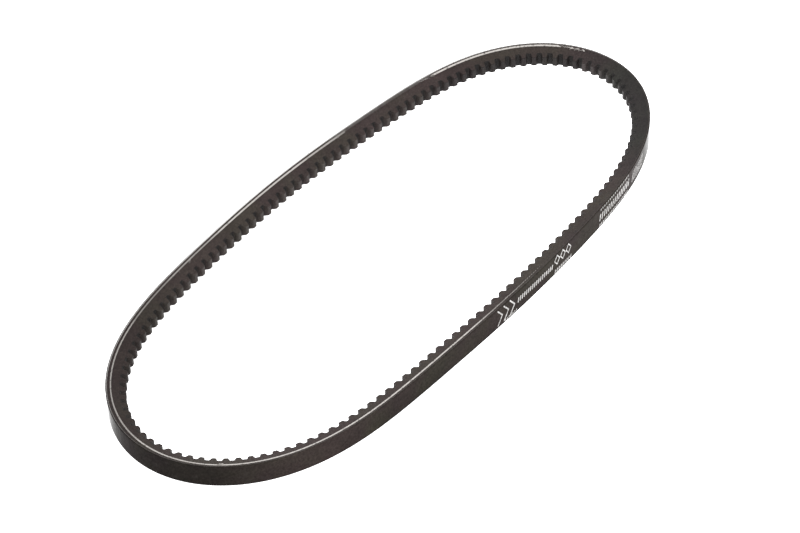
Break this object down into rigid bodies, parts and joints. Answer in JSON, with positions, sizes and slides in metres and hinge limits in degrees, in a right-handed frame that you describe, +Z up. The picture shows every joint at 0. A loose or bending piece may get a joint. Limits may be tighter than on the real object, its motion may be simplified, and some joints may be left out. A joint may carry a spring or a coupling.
{
  "type": "v belt",
  "caption": "Endless raw-edge V-belt with moulded cogs, lying on its side as a long loop; its sloping flanks wedge into pulley grooves to carry power.",
  "frame": {"origin": "middle of the loop's bounding box, on the plane that the belt's lower back edge rests on", "axes": "+X along the loop's long axis, +Y across the loop, +Z up across the belt's width, from the lower flank to the upper flank"},
  "size_m": [0.3138, 0.1294, 0.01],
  "materials": {
    "back_cloth": "rubberised cloth, satin, with glossy grazing highlights",
    "ply_cloth": "cut edge of rubberised cloth, matt grey",
    "gum": "matt, ground",
    "cord": "cut polyester cord, frayed, off-white",
    "body_rubber": "ground rubber with short cross fibres, matt warm grey",
    "cog_cloth": "rubberised cloth moulded over the cogs, satin",
    "print_ink": "worn off-white print on the back"
  },
  "bodies": {
    "root": {"back_fabric_outer_ply": "back_cloth", "back_fabric_inner_ply": "ply_cloth", "overcord_rubber": "gum", "upper_adhesion_gum": "gum", "tensile_cord": "cord", "lower_adhesion_gum": "gum", "compression_rubber": "body_rubber", "cog_fabric": "cog_cloth"}
  },
  "joints": []
}
